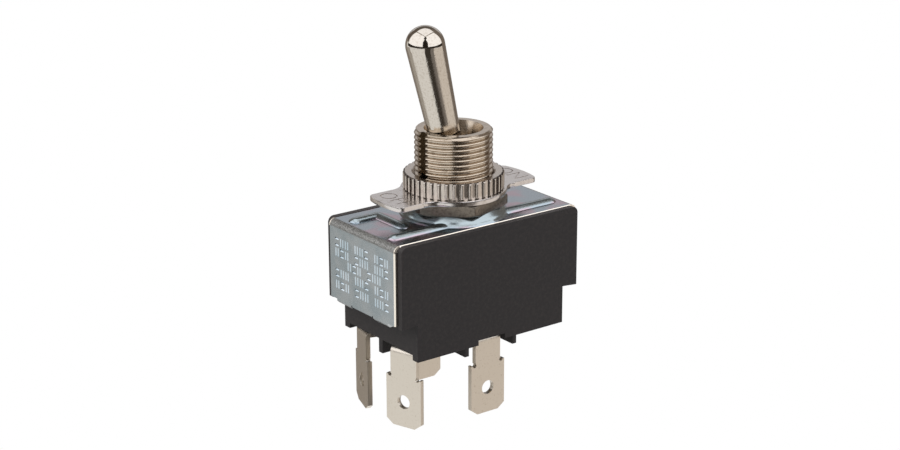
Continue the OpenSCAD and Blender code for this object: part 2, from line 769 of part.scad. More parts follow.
// The neck, the bend and the foot of a terminal, seen from their narrow side.
module strip_outline() {
    outer_y = -foot_l - tab_t / 2;
    foot_z = tab_t - case_h;
    outer_r = tab_t + 0.1;
    difference() {
        polygon([
            [outer_y, shoulder_c - slack], [outer_y + tab_t, shoulder_c - slack], [outer_y + tab_t, -case_h],
            [0, -case_h], [0, foot_z], [outer_y, foot_z]
        ]);
        difference() {
            translate([outer_y - slack, foot_z - outer_r]) square(outer_r + slack);
            translate([outer_y + outer_r, foot_z - outer_r]) circle(outer_r);
        }
    }
}

// A terminal with its rivet hole on the axis and its tab out along -Y.
module terminal() {
    notch_r = 0.3;
    difference() {
        union() {
            translate([0, -foot_l, 0]) across(tab_t) blade_outline();
            rotate([90, 0, 90]) translate([0, 0, -tab_neck_w / 2]) linear_extrude(tab_neck_w) strip_outline();
            translate([0, 0, -case_h]) cylinder(r = tab_neck_w / 2, h = tab_t);
        }
        translate([0, -foot_l, tab_end_c + tab_hole_l]) rod_y(tab_hole_d / 2, tab_t + slack);
        for (s = [-1, 1]) translate([s * (tab_neck_w + notch_r) / 2, -foot_l, shoulder_c])
            rod_y(notch_r, tab_t + slack, $fn = 24);
        translate([0, 0, -case_h - slack]) cylinder(r = rivet_r + fit_gap, h = tab_t + 2 * slack);
    }
}

module common_terminal(side) {
    color(tin) at_case() translate([0, side * pole_y, 0]) rotate([0, 0, side == near ? 0 : 180]) terminal();
}

module line_terminal(side) {
    color(tin) at_case() translate([-contact_x, side * pole_y, 0])
        rotate([0, 0, side == near ? end_turn - 90 : -90 - end_turn]) terminal();
}

housing();
steel_frame();
bushing();
hex_nut();
on_off_plate();
knurled_nut();
lever();
pivot_pin();
crossbar();
plunger(near);  // plunger_near
plunger(far);  // plunger_far
plunger_spring(near);  // plunger_spring_near
plunger_spring(far);  // plunger_spring_far
rocker(near);  // rocker_near
rocker(far);  // rocker_far
moving_contact(near);  // moving_contact_near
moving_contact(far);  // moving_contact_far
fulcrum_bracket(near);  // fulcrum_bracket_near
fulcrum_bracket(far);  // fulcrum_bracket_far
fulcrum_rivet(near);  // fulcrum_rivet_near
fulcrum_rivet(far);  // fulcrum_rivet_far
contact_rivet(near);  // contact_rivet_near
contact_rivet(far);  // contact_rivet_far
common_terminal(near);  // common_terminal_near
common_terminal(far);  // common_terminal_far
line_terminal(near);  // line_terminal_near
line_terminal(far);  // line_terminal_far
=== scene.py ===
"""Looks of a panel toggle switch: a two-pole switch with a bat lever on a threaded bushing.

Lengths in the classes are millimetres in the part's own frame: Z along the bushing, X along the
case, and the origin where a panel seats on the hex nut. Meshes are made in metres.
"""

import logging
import math
from collections.abc import Callable, Iterator, Sequence
from contextlib import contextmanager
from dataclasses import dataclass, field
from enum import Enum

import bpy
from mathutils import Matrix, Vector

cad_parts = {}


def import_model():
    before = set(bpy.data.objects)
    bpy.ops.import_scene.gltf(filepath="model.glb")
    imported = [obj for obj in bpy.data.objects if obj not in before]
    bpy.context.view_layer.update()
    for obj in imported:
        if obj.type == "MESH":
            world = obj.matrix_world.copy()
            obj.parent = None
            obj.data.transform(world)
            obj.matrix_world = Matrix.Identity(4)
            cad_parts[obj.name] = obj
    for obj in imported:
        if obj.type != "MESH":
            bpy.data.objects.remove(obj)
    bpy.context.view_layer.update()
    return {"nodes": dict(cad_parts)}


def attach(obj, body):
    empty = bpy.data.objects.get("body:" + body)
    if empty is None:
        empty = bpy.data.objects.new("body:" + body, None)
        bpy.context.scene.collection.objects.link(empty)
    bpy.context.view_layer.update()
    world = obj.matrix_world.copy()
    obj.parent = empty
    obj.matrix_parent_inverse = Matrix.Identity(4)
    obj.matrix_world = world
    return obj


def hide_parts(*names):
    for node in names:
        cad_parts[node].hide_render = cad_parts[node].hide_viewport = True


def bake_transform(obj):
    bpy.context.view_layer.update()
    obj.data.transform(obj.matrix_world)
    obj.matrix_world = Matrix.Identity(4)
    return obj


LOG = logging.getLogger("toggle_switch")
MM = 0.001
WELD = 2e-6
REACH = 1.0


class Axis(Enum):
    """The axis that a prism is drawn along, with the two axes of its outline."""

    X = (1, 2, 0)
    Y = (0, 2, 1)
    Z = (0, 1, 2)

    def point(self, a: float, b: float, along: float) -> Vector:
        """Places an outline point in space.

        Args:
            a: First outline coordinate, in millimetres.
            b: Second outline coordinate, in millimetres.
            along: Distance along the axis, in millimetres.

        Returns:
            The point in metres.
        """
        place = [0.0, 0.0, 0.0]
        for axis, value in zip(self.value, (a, b, along)):
            place[axis] = value * MM
        return Vector(place)


class Cut(Enum):
    """How one solid acts on another."""

    REMOVE = "DIFFERENCE"
    KEEP_COMMON = "INTERSECT"
    JOIN = "UNION"


# ---- Making meshes ----


def focus(piece: bpy.types.Object) -> None:
    """Makes piece the only selected object and the active one."""
    if bpy.context.object is not None and bpy.context.object.mode != "OBJECT":
        bpy.ops.object.mode_set(mode="OBJECT")
    bpy.ops.object.select_all(action="DESELECT")
    piece.select_set(True)
    bpy.context.view_layer.objects.active = piece


@contextmanager
def editing(piece: bpy.types.Object) -> Iterator[None]:
    """Opens piece in edit mode with everything in it selected."""
    focus(piece)
    bpy.ops.object.mode_set(mode="EDIT")
    bpy.ops.mesh.select_all(action="SELECT")
    yield
    bpy.ops.object.mode_set(mode="OBJECT")


def trace(name: str, points: Sequence[Vector]) -> bpy.types.Object:
    """Draws a line of edges by extruding one vertex from point to point.

    Args:
        name: Name of the new piece.
        points: The line's points, in metres.

    Returns:
        The new piece, which has edges only.
    """
    bpy.ops.object.select_all(action="DESELECT")
    bpy.ops.mesh.primitive_plane_add(size=MM)
    piece = bpy.context.object
    piece.name = name
    with editing(piece):
        bpy.ops.mesh.merge(type="CENTER")
        bpy.ops.mesh.select_all(action="SELECT")
        bpy.ops.transform.translate(value=points[0])
        for start, end in zip(points, points[1:]):
            bpy.ops.mesh.extrude_region_move(TRANSFORM_OT_translate={"value": end - start})
    return piece


def lathe(name: str, profile: Sequence[tuple[float, float]], steps: int = 96) -> bpy.types.Object:
    """Turns a profile of radius and height pairs about Z.

    Args:
        name: Name of the new piece.
        profile: The profile from axis to axis, in millimetres.
        steps: Number of sides around.

    Returns:
        The closed solid.
    """
    piece = trace(name, [Vector((r * MM, 0, z * MM)) for r, z in profile])
    with editing(piece):
        bpy.ops.mesh.spin(steps=steps, angle=math.tau, center=(0, 0, 0), axis=(0, 0, 1))
        bpy.ops.mesh.select_all(action="SELECT")
        bpy.ops.mesh.remove_doubles(threshold=WELD)
        bpy.ops.mesh.normals_make_consistent(inside=False)
    return piece


def prism(
    name: str, axis: Axis, outline: Sequence[tuple[float, float]], low: float, high: float
) -> bpy.types.Object:
    """Extrudes a closed outline along an axis.

    Args:
        name: Name of the new piece.
        axis: The axis that the outline is drawn out along.
        outline: The outline's corners, in millimetres.
        low: Where the prism starts along the axis, in millimetres.
        high: Where it ends.

    Returns:
        The closed solid.
    """
    piece = trace(name, [axis.point(a, b, low) for a, b in outline])
    with editing(piece):
        bpy.ops.mesh.edge_face_add()
        bpy.ops.mesh.extrude_region_move(
            TRANSFORM_OT_translate={"value": axis.point(0, 0, high - low)}
        )
        bpy.ops.mesh.select_all(action="SELECT")
        bpy.ops.mesh.normals_make_consistent(inside=False)
    return piece


def box(name: str, low: Sequence[float], high: Sequence[float]) -> bpy.types.Object:
    """Makes a box between two corners in millimetres."""
    corners = [(low[0], low[1]), (high[0], low[1]), (high[0], high[1]), (low[0], high[1])]
    return prism(name, Axis.Z, corners, low[2], high[2])


def rod(name: str, axis: Axis, radius: float, low: float, high: float, a: float = 0.0,
        b: float = 0.0, sides: int = 48) -> bpy.types.Object:
    """Makes a round rod along an axis, with its middle at outline coordinates a and b."""
    turn = [math.tau * i / sides for i in range(sides)]
    outline = [(a + radius * math.cos(t), b + radius * math.sin(t)) for t in turn]
    return prism(name, axis, outline, low, high)


def apply_modifier(piece: bpy.types.Object, kind: str, **settings: object) -> None:
    """Adds a modifier to piece with these settings and applies it."""
    focus(piece)
    modifier = piece.modifiers.new(kind.title(), kind)
    for key, value in settings.items():
        setattr(modifier, key, value)
    bpy.ops.object.modifier_apply(modifier=modifier.name)


def carve(piece: bpy.types.Object, tool: bpy.types.Object, cut: Cut = Cut.REMOVE) -> None:
    """Acts on piece with tool, which is used up."""
    apply_modifier(piece, "BOOLEAN", operation=cut.value, solver="EXACT", object=tool)
    mesh = tool.data
    bpy.data.objects.remove(tool)
    bpy.data.meshes.remove(mesh)


def join(pieces: Sequence[bpy.types.Object]) -> bpy.types.Object:
    """Joins several pieces into the first of them."""
    focus(pieces[0])
    for piece in pieces[1:]:
        piece.select_set(True)
    bpy.ops.object.join()
    return pieces[0]


def copy_of(node: bpy.types.Object, name: str, flat: float = 0.4) -> bpy.types.Object:
    """Copies a CAD node as a mesh of whole faces.

    Args:
        node: The CAD node, which stays as it is.
        name: Name of the copy.
        flat: Angle in degrees under which neighbouring triangles become one face.

    Returns:
        The copy, merged and cleaned.
    """
    piece = bpy.data.objects.new(name, node.data.copy())
    bpy.context.scene.collection.objects.link(piece)
    with editing(piece):
        bpy.ops.mesh.customdata_custom_splitnormals_clear()
        bpy.ops.mesh.remove_doubles(threshold=WELD)
        bpy.ops.mesh.dissolve_limited(angle_limit=math.radians(flat))
    return piece


def soften(piece: bpy.types.Object, width: float, angle: float = 32.0, segments: int = 2) -> None:
    """Rounds the sharp edges of piece.

    Args:
        piece: The piece to round.
        width: Width of the rounding in millimetres.
        angle: Edges sharper than this many degrees are rounded.
        segments: Number of faces across a rounding.
    """
    apply_modifier(
        piece, "BEVEL", width=width * MM, segments=segments, limit_method="ANGLE",
        angle_limit=math.radians(angle), use_clamp_overlap=True, harden_normals=False,
        miter_outer="MITER_ARC",
    )


def smooth(piece: bpy.types.Object, angle: float = 32.0) -> None:
    """Shades piece smooth across edges flatter than angle degrees, with its large faces flat."""
    focus(piece)
    bpy.ops.object.shade_smooth_by_angle(angle=math.radians(angle))
    apply_modifier(piece, "WEIGHTED_NORMAL", mode="FACE_AREA", weight=100, keep_sharp=True)


def settle(piece: bpy.types.Object, matrix: Matrix) -> None:
    """Moves piece by matrix and puts its place into its mesh."""
    focus(piece)
    piece.matrix_world = matrix @ piece.matrix_world
    bpy.context.view_layer.update()
    bpy.ops.object.transform_apply(location=True, rotation=True, scale=True)


# ---- Finishes ----


def linear(colour: str) -> tuple[float, float, float, float]:
    """Turns an sRGB hex colour into linear red, green, blue and alpha."""
    parts = [int(colour[i : i + 2], 16) / 255 for i in (0, 2, 4)]
    r, g, b = (c / 12.92 if c <= 0.04045 else ((c + 0.055) / 1.055) ** 2.4 for c in parts)
    return (r, g, b, 1.0)


def add_node(
    tree: bpy.types.NodeTree,
    kind: str,
    settings: dict[str, object] | None = None,
    values: dict[str | int, object] | None = None,
    links: dict[str | int, bpy.types.NodeSocket] | None = None,
) -> bpy.types.Node:
    """Adds a node to a tree.

    Args:
        tree: The node tree.
        kind: The node's type.
        settings: Properties of the node.
        values: Default values of its input sockets, by name or number.
        links: Output sockets to join to its input sockets, by name or number.

    Returns:
        The new node.
    """
    node = tree.nodes.new(kind)
    for key, value in (settings or {}).items():
        setattr(node, key, value)
    for key, value in (values or {}).items():
        node.inputs[key].default_value = value
    for key, socket in (links or {}).items():
        tree.links.new(socket, node.inputs[key])
    return node


def object_noise(
    tree: bpy.types.NodeTree, size: float, detail: float = 2.0, roughness: float = 0.5
) -> bpy.types.NodeSocket:
    """Adds noise in Object coordinates.

    Args:
        tree: The node tree.
        size: Size of the noise's features in millimetres.
        detail: Number of finer layers.
        roughness: How strong the finer layers are.

    Returns:
        The noise's value socket.
    """
    place = add_node(tree, "ShaderNodeTexCoord")
    noise = add_node(
        tree, "ShaderNodeTexNoise",
        values={"Scale": 1 / (size * MM), "Detail": detail, "Roughness": roughness},
        links={"Vector": place.outputs["Object"]},
    )
    return noise.outputs["Fac"]


def spread(
    tree: bpy.types.NodeTree, value: bpy.types.NodeSocket, low: float, high: float,
    to_low: float = 0.0, to_high: float = 1.0,
) -> bpy.types.NodeSocket:
    """Maps a value from one range to another, clamped and smooth at both ends."""
    node = add_node(
        tree, "ShaderNodeMapRange", {"interpolation_type": "SMOOTHSTEP"},
        {"From Min": low, "From Max": high, "To Min": to_low, "To Max": to_high},
        {"Value": value},
    )
    return node.outputs[0]


def blend_colours(
    tree: bpy.types.NodeTree, factor: bpy.types.NodeSocket,
    first: bpy.types.NodeSocket | str, second: bpy.types.NodeSocket | str,
) -> bpy.types.NodeSocket:
    """Mixes two colours, each a hex colour or a socket, by a factor socket."""
    node = add_node(tree, "ShaderNodeMix", {"data_type": "RGBA"}, links={0: factor})
    for index, colour in ((6, first), (7, second)):
        if isinstance(colour, str):
            node.inputs[index].default_value = linear(colour)
        else:
            tree.links.new(colour, node.inputs[index])
    return node.outputs[2]


def grain_bump(
    tree: bpy.types.NodeTree, shader: bpy.types.Node, height: bpy.types.NodeSocket, depth: float
) -> None:
    """Tilts the shader's surface by a height pattern that is depth millimetres deep."""
    bump = add_node(
        tree, "ShaderNodeBump", values={"Strength": 1.0, "Distance": depth * MM},
        links={"Height": height},
    )
    tree.links.new(bump.outputs[0], shader.inputs["Normal"])


@dataclass(frozen=True)
class Finish:
    """How a surface looks, by its name and its slot.

    The real grain of plated and moulded skins is finer than a view of the whole switch can show.
    Each grain is drawn a few tenths of a millimetre coarse, so that it still breaks reflections.
    """

    name: str
    slot: str

    def material(self) -> bpy.types.Material:
        """Makes the material: one Principled shader, dressed for this finish.

        Returns:
            The material.
        """
        material = bpy.data.materials.new(self.name)
        material.use_nodes = True
        tree = material.node_tree
        tree.nodes.clear()
        shader = add_node(tree, "ShaderNodeBsdfPrincipled")
        add_node(tree, "ShaderNodeOutputMaterial", links={"Surface": shader.outputs[0]})
        self.dress(tree, shader)
        return material

    def dress(self, tree: bpy.types.NodeTree, shader: bpy.types.Node) -> None:
        """Sets the shader's colour, sheen and grain.

        Args:
            tree: The material's node tree.
            shader: Its Principled shader.
        """
        raise NotImplementedError


@dataclass(frozen=True)
class PlatedMetal(Finish):
    """A metal with a thin plated or polished skin: one colour, stained where the skin is thin."""

    colour: str
    stain: str
    roughness: float
    stain_size: float = 1.2
    stain_from: float = 0.5
    grain_size: float = 0.25
    grain_depth: float = 0.0012

    def dress(self, tree: bpy.types.NodeTree, shader: bpy.types.Node) -> None:
        """Stains the metal in patches and gives it a fine grain.

        Args:
            tree: The material's node tree.
            shader: Its Principled shader.
        """
        mask = spread(tree, object_noise(tree, self.stain_size, 3.0, 0.6), self.stain_from, 0.78)
        tree.links.new(
            blend_colours(tree, mask, self.colour, self.stain), shader.inputs["Base Color"]
        )
        shader.inputs["Metallic"].default_value = 1.0
        shader.inputs["Roughness"].default_value = self.roughness
        grain_bump(tree, shader, object_noise(tree, self.grain_size, 2.0), self.grain_depth)


@dataclass(frozen=True)
class KeyedBushing(Finish):
    """Bright nickel on a threaded bushing, with painted shade darkening the keyway."""

    name: str = "nickel_plated_brass"
    slot: str = "nickel_bushing"
    colour: str = "C4B7A6"
    stain: str = "A0917E"
    # Painted shade: the dark colour laid over the keyway's floor and walls.
    keyway_shade: str = "8C7E6B"
    key_x: float = -5.0
    key_y: float = 0.86
    roughness: float = 0.2

    def dress(self, tree: bpy.types.NodeTree, shader: bpy.types.Node) -> None:
        """Stains the nickel in patches and paints shade over the keyway.

        Args:
            tree: The material's node tree.
            shader: Its Principled shader.
        """
        mask = spread(tree, object_noise(tree, 1.2, 3.0, 0.6), 0.5, 0.78)
        bright = blend_colours(tree, mask, self.colour, self.stain)
        tree.links.new(
            blend_colours(tree, self.keyway(tree), bright, self.keyway_shade),
            shader.inputs["Base Color"],
        )
        shader.inputs["Metallic"].default_value = 1.0
        shader.inputs["Roughness"].default_value = self.roughness
        grain_bump(tree, shader, object_noise(tree, 0.25, 2.0), 0.002)

    def keyway(self, tree: bpy.types.NodeTree) -> bpy.types.NodeSocket:
        """Gives 1 on the keyway's floor and walls, where shade is painted, and 0 elsewhere."""
        place = add_node(tree, "ShaderNodeTexCoord")
        split = add_node(
            tree, "ShaderNodeSeparateXYZ", links={"Vector": place.outputs["Object"]}
        )
        wide = add_node(
            tree, "ShaderNodeMath", {"operation": "ABSOLUTE"}, links={0: split.outputs["Y"]}
        )
        across = spread(
            tree, wide.outputs[0], self.key_y * MM, (self.key_y + 0.03) * MM, 1.0, 0.0
        )
        inward = spread(
            tree, split.outputs["X"], self.key_x * MM, (self.key_x + 0.04) * MM, 1.0, 0.0
        )
        both = add_node(
            tree, "ShaderNodeMath", {"operation": "MULTIPLY"}, links={0: across, 1: inward}
        )
        return both.outputs[0]


@dataclass(frozen=True)
class KnurledMetal(Finish):
    """A plated nut with a knurled rim, with painted shade at the ribs' feet."""

    name: str = "knurled_nickel_nut"
    slot: str = "nickel_hardware"
    colour: str = "CCC3B9"
    # Painted shade: the dark colour laid at the ribs' feet.
    groove: str = "3C352F"
    rib_r: float = 7.7
    groove_r: float = 7.36
    dark_to: float = 0.45
    bright_from: float = 0.9
    roughness: float = 0.24

    def dress(self, tree: bpy.types.NodeTree, shader: bpy.types.Node) -> None:
        """Paints shade at the feet of the ribs, by their distance from the axis.

        Args:
            tree: The material's node tree.
            shader: Its Principled shader.
        """
        place = add_node(tree, "ShaderNodeTexCoord")
        flat = add_node(
            tree, "ShaderNodeVectorMath", {"operation": "MULTIPLY"}, {1: (1.0, 1.0, 0.0)},
            {0: place.outputs["Object"]},
        )
        out = add_node(
            tree, "ShaderNodeVectorMath", {"operation": "LENGTH"}, links={0: flat.outputs[0]}
        )
        rise = self.rib_r - self.groove_r
        height = spread(
            tree, out.outputs["Value"], (self.groove_r + self.dark_to * rise) * MM,
            (self.groove_r + self.bright_from * rise) * MM,
        )
        inner = spread(
            tree, out.outputs["Value"], (self.groove_r + 0.02) * MM, (self.groove_r + 0.07) * MM
        )
        # Painted shade, strongest just above the groove floor and fading up the ribs.
        dark = add_node(
            tree, "ShaderNodeMath", {"operation": "SUBTRACT", "use_clamp": True},
            links={0: inner, 1: height},
        )
        tree.links.new(
            blend_colours(tree, dark.outputs[0], self.colour, self.groove),
            shader.inputs["Base Color"],
        )
        shader.inputs["Metallic"].default_value = 1.0
        shader.inputs["Roughness"].default_value = self.roughness
        grain_bump(tree, shader, object_noise(tree, 0.25, 2.0), 0.003)


@dataclass(frozen=True)
class PolishedLever(Finish):
    """Polished nickel on the lever: a mirror on the tip, finely pitted down the bat."""

    name: str = "polished_nickel"
    slot: str = "bright_nickel"
    colour: str = "CEC7BC"
    shade: str = "BBB2A6"
    roughness: float = 0.07
    bat_roughness: float = 0.13
    throw: float = 13.8
    pit_size: float = 0.2
    pit_depth: float = 0.014
    smooth_from: float = 22.6
    smooth_to: float = 23.6

    def dress(self, tree: bpy.types.NodeTree, shader: bpy.types.Node) -> None:
        """Pits and dulls the bat, and leaves the tip a mirror.

        Args:
            tree: The material's node tree.
            shader: Its Principled shader.
        """
        lean = math.radians(self.throw)
        place = add_node(tree, "ShaderNodeTexCoord")
        along = add_node(
            tree, "ShaderNodeVectorMath", {"operation": "DOT_PRODUCT"},
            {1: (-math.sin(lean), 0.0, math.cos(lean))}, {0: place.outputs["Object"]},
        )
        bat = spread(
            tree, along.outputs["Value"], self.smooth_from * MM, self.smooth_to * MM, 1.0, 0.0
        )
        pits = object_noise(tree, self.pit_size, 3.0, 0.6)
        height = add_node(
            tree, "ShaderNodeMath", {"operation": "MULTIPLY"}, links={0: pits, 1: bat}
        )
        mask = spread(tree, object_noise(tree, 0.3, 2.0, 0.6), 0.45, 0.75)
        tree.links.new(
            blend_colours(tree, mask, self.colour, self.shade), shader.inputs["Base Color"]
        )
        shader.inputs["Metallic"].default_value = 1.0
        tree.links.new(
            spread(tree, bat, 0.0, 1.0, self.roughness, self.bat_roughness),
            shader.inputs["Roughness"],
        )
        grain_bump(tree, shader, height.outputs[0], self.pit_depth)


@dataclass(frozen=True)
class ZincPlate(Finish):
    """Steel sheet plated with zinc and clear passivated.

    The passivation film is blue-grey, with soft pink patches where it is thicker on the flat top.
    Its raised ridges and boss take a darker film colour, whose darkness is painted shade.
    It is scuffed to a darker speckle where the sheet was bent, and a bright line along its long
    edges is a painted highlight.
    """

    name: str = "zinc_plated_steel"
    slot: str = "zinc_plated_steel"
    bend_x: float = 16.15
    bend_z: float = -4.2
    top_z: float = -3.2
    edge_y: float = 8.25
    end_film: tuple[str, str] = ("B6C5CD", "C8D2D8")
    top_film: tuple[str, str] = ("A6B2BA", "B9A9B2")
    # Film tint of the raised ridges and boss, darkened as painted shade.
    shaded_ridge_film: str = "A4B0B3"
    scuffed: tuple[str, str] = ("6C6C69", "A9A9A5")
    # Painted highlight: a bright line along the sheet's long edges.
    painted_edge_highlight: str = "F6EEE0"
    roughness: float = 0.22
    scuffed_roughness: float = 0.5

    def dress(self, tree: bpy.types.NodeTree, shader: bpy.types.Node) -> None:
        """Lays the film over the sheet, wears it at the bends and paints a highlight along the long
        edges.

        Args:
            tree: The material's node tree.
            shader: Its Principled shader.
        """
        place = add_node(tree, "ShaderNodeTexCoord")
        split = add_node(
            tree, "ShaderNodeSeparateXYZ", links={"Vector": place.outputs["Object"]}
        )
        at_bend = self.bend_mask(tree, split)
        speckle = spread(tree, object_noise(tree, 0.16, 2.0, 0.7), 0.38, 0.6)
        worn = blend_colours(tree, speckle, *self.scuffed)
        skin = blend_colours(tree, at_bend, self.film(tree, split), worn)
        # Paints a highlight line along the sheet's long edges.
        wide = add_node(
            tree, "ShaderNodeMath", {"operation": "ABSOLUTE"}, links={0: split.outputs["Y"]}
        )
        edge = spread(
            tree, wide.outputs[0], (self.edge_y - 0.03) * MM, (self.edge_y + 0.03) * MM
        )
        tree.links.new(
            blend_colours(tree, edge, skin, self.painted_edge_highlight), shader.inputs["Base Color"]
        )
        shader.inputs["Metallic"].default_value = 1.0
        tree.links.new(
            spread(tree, at_bend, 0.0, 1.0, self.roughness, self.scuffed_roughness),
            shader.inputs["Roughness"],
        )
        grain_bump(tree, shader, object_noise(tree, 0.5, 2.0), 0.004)

    def bend_mask(self, tree: bpy.types.NodeTree, split: bpy.types.Node) -> bpy.types.NodeSocket:
        """Gives 1 on the two bends and 0 elsewhere."""
        out = add_node(
            tree, "ShaderNodeMath", {"operation": "ABSOLUTE"}, links={0: split.outputs["X"]}
        )
        outward = spread(
            tree, out.outputs[0], (self.bend_x - 0.1) * MM, (self.bend_x + 0.25) * MM
        )
        upward = spread(
            tree, split.outputs["Z"], (self.bend_z - 0.1) * MM, (self.bend_z + 0.25) * MM
        )
        both = add_node(
            tree, "ShaderNodeMath", {"operation": "MULTIPLY"}, links={0: outward, 1: upward}
        )
        return both.outputs[0]

    def film(self, tree: bpy.types.NodeTree, split: bpy.types.Node) -> bpy.types.NodeSocket:
        """Gives the film's colour on the ends, on the flat top and on the raised ridges, darkened
        there as painted shade.
        """
        mottle = spread(tree, object_noise(tree, 3.0, 3.0, 0.55), 0.3, 0.7)
        plain = blend_colours(tree, mottle, *self.end_film)
        thick = spread(tree, object_noise(tree, 4.0, 2.0, 0.5), 0.42, 0.6)
        tinted = blend_colours(tree, thick, *self.top_film)
        height = split.outputs["Z"]
        # The raised ridges and boss take the darker film: painted shade.
        raised = spread(tree, height, (self.top_z + 0.05) * MM, (self.top_z + 0.3) * MM)
        top = blend_colours(tree, raised, tinted, self.shaded_ridge_film)
        on_top = spread(tree, height, self.bend_z * MM, (self.bend_z + 0.6) * MM)
        return blend_colours(tree, on_top, plain, top)


@dataclass(frozen=True)
class MouldedPhenolic(Finish):
    """Mineral-filled phenolic, compression moulded: near black and warm, with a satin skin."""

    name: str = "phenolic"
    slot: str = "phenolic"
    colour: str = "252426"
    dust: str = "2D2B2C"
    roughness: float = 0.45

    def dress(self, tree: bpy.types.NodeTree, shader: bpy.types.Node) -> None:
        """Dusts the moulding with its pale filler.

        Args:
            tree: The material's node tree.
            shader: Its Principled shader.
        """
        mask = spread(tree, object_noise(tree, 0.6, 4.0, 0.7), 0.4, 0.7)
        tree.links.new(blend_colours(tree, mask, self.colour, self.dust), shader.inputs["Base Color"])
        shader.inputs["Roughness"].default_value = self.roughness
        shader.inputs["IOR"].default_value = 1.5
        shader.inputs["Specular IOR Level"].default_value = 0.2
        # The filler's fine grain, which takes the edge off reflections.
        grain_bump(tree, shader, object_noise(tree, 0.18, 2.0), 0.002)


@dataclass(frozen=True)
class MouldedNylon(Finish):
    """Natural nylon, injection moulded: milky cream, with a soft gloss."""

    name: str = "nylon"
    slot: str = "nylon"
    colour: str = "D9D0B8"
    shade: str = "C9BFA4"
    roughness: float = 0.4

    def dress(self, tree: bpy.types.NodeTree, shader: bpy.types.Node) -> None:
        """Clouds the moulding and lets a little light into it.

        Args:
            tree: The material's node tree.
            shader: Its Principled shader.
        """
        mask = spread(tree, object_noise(tree, 2.0), 0.4, 0.7)
        tree.links.new(blend_colours(tree, mask, self.colour, self.shade), shader.inputs["Base Color"])
        shader.inputs["Roughness"].default_value = self.roughness
        shader.inputs["IOR"].default_value = 1.53
        shader.inputs["Subsurface Weight"].default_value = 0.1
        shader.inputs["Subsurface Scale"].default_value = 0.5 * MM


# Nickel over brass is warm and glossy, and turned threads keep fine bright lines.
BUSHING_NICKEL = KeyedBushing()
NUT_NICKEL = KnurledMetal()
# Nickel on a flat stamping is a soft mirror of what stands on it.
PLATE_NICKEL = PlatedMetal(
    "satin_nickel_plate", "nickel_hardware", "D8D3CF", "BEB8B2", 0.2, grain_depth=0.003
)
# Dull nickel on a tumbled nut is dark, with small dents.
DULL_NICKEL = PlatedMetal(
    "dull_nickel_nut", "nickel_hardware", "7E766C", "5C544C", 0.26,
    stain_size=0.35, stain_from=0.4, grain_size=0.14, grain_depth=0.012,
)
BRIGHT_NICKEL = PolishedLever()
# Tin on stamped brass is pale and satin, with a fine speckle.
TINNED_BRASS = PlatedMetal(
    "tinned_brass", "tinned_brass", "D3CBBE", "BFB5A5", 0.34,
    stain_size=0.3, stain_from=0.55, grain_depth=0.002,
)
# Ground and drawn steel are plain grey, and the wire is the darker.
STEEL_PIN = PlatedMetal("steel_pin", "steel_pin", "A9A8A6", "8A8783", 0.25)
SPRING_STEEL = PlatedMetal("spring_steel", "spring_steel", "9C9A98", "7B7875", 0.3)
# Bare brass is yellow and bare copper red, both a little tarnished.
BRASS = PlatedMetal("brass", "brass", "CBAA63", "A98A4B", 0.28)
COPPER = PlatedMetal("copper", "copper", "C98A62", "A66C4A", 0.3)
# Silver contacts are white and bright.
SILVER_CONTACT = PlatedMetal("silver_contact", "silver_contact", "DAD8D2", "BDBAB2", 0.22)
ZINC = ZincPlate()
PHENOLIC = MouldedPhenolic()
NYLON = MouldedNylon()

_made: dict[str, bpy.types.Material] = {}


def paint(piece: bpy.types.Object, finish: Finish) -> None:
    """Gives piece a finish."""
    if finish.name not in _made:
        _made[finish.name] = finish.material()
    piece.data.materials.clear()
    piece.data.materials.append(_made[finish.name])


def fit(piece: bpy.types.Object, body: str, finish: Finish, *nodes: str) -> None:
    """Finishes a new piece: its material, the body it rides on and the nodes it stands for."""
    paint(piece, finish)
    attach(piece, body)
    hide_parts(*nodes)
    LOG.info("%s: %d faces, rides on %s", piece.name, len(piece.data.polygons), body)


# ---- Sub-assemblies ----


